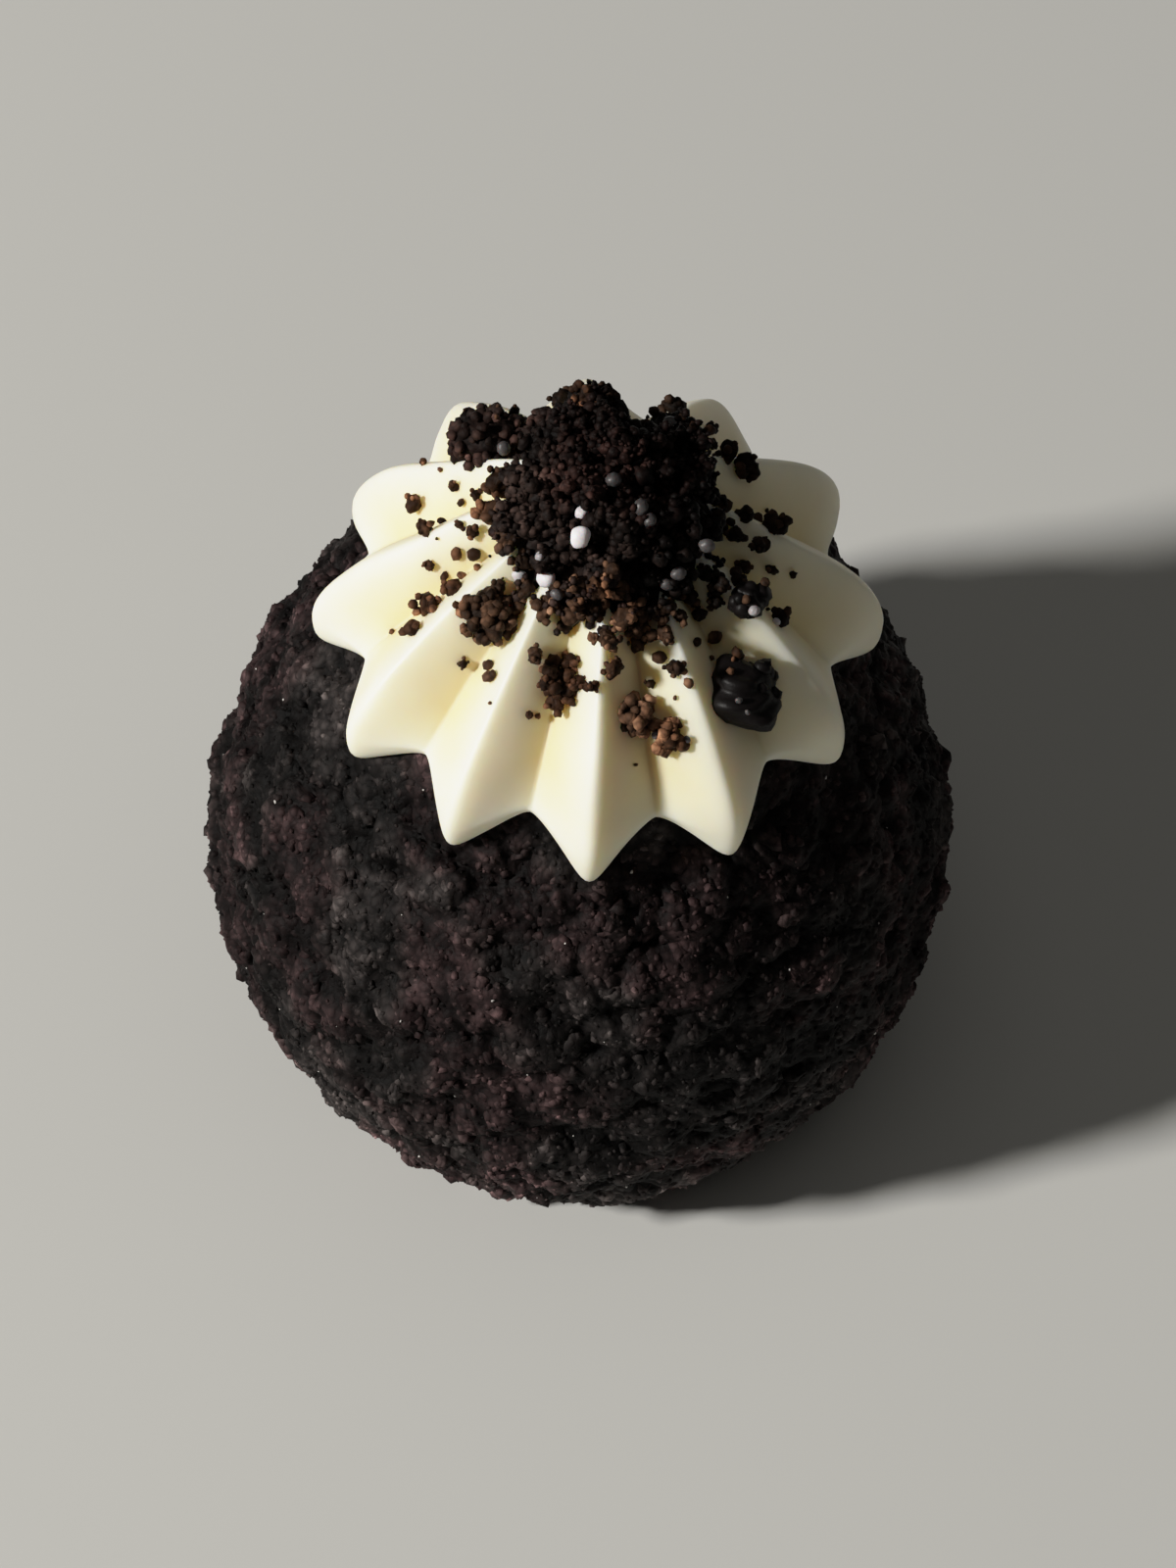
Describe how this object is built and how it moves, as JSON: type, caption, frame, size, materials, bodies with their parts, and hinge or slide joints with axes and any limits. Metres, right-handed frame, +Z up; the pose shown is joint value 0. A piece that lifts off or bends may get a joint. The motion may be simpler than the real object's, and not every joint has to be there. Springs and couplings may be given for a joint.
{
  "type": "brownie cake",
  "caption": "Small round chocolate brownie cake, a craggy ball cut flat at its base, crowned with a ridged star of piped cream and a heap of dark cookie crumbs.",
  "frame": {"origin": "centre of the flat base the cake rests on, under the centre of the box round the whole cake", "axes": "+Z up through the crown, -Y towards the front that the picture shows, +X towards the picture's right"},
  "size_m": [0.0512, 0.0516, 0.06],
  "materials": {
    "cake": "dry, crumbly and matte, like a dark chocolate cake",
    "cream": "smooth and softly satin, like whipped cream",
    "crumb": "dry and matte, like crushed chocolate cookies"
  },
  "bodies": {
    "root": {"brownie": "cake", "cream": "cream", "crumb_heap": "crumb"}
  },
  "joints": []
}
